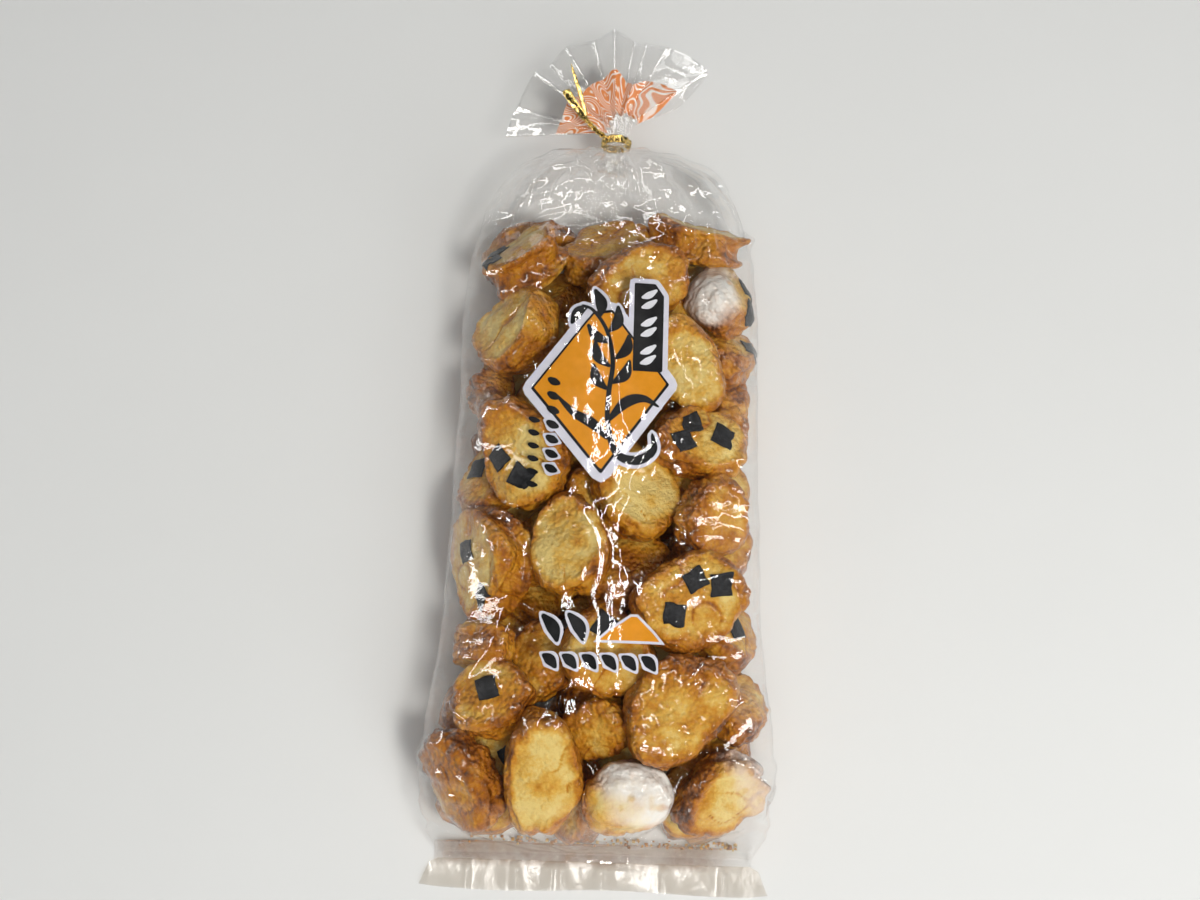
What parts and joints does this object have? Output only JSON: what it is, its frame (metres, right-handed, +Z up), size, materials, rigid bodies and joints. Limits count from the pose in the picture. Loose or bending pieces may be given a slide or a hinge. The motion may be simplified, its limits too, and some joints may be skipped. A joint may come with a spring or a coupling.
{
  "type": "bag of japanese rice crackers",
  "caption": "Clear film bag filled with puffed rice crackers and seaweed squares, sealed flat at one end and gathered into a pleated ruffle by a twist tie.",
  "frame": {"origin": "middle of the rectangle that the bag covers on the table, on the table plane", "axes": "+Y along the bag from the flat sealed fin to the ruffle, +X across the bag, +Z up from the table"},
  "size_m": [0.1148, 0.29, 0.0491],
  "materials": {
    "crackers_in_film": "clear glossy film over golden brown crackers",
    "gold_foil": "shiny crinkled gold foil over wire",
    "clear_film": "clear glossy thin film",
    "rice_cracker": "fried and puffed, with a soy glaze",
    "seaweed": "dry roasted seaweed",
    "print": "ink printed on the film"
  },
  "bodies": {
    "root": {"bag": "crackers_in_film", "twist_tie": "gold_foil"}
  },
  "joints": []
}
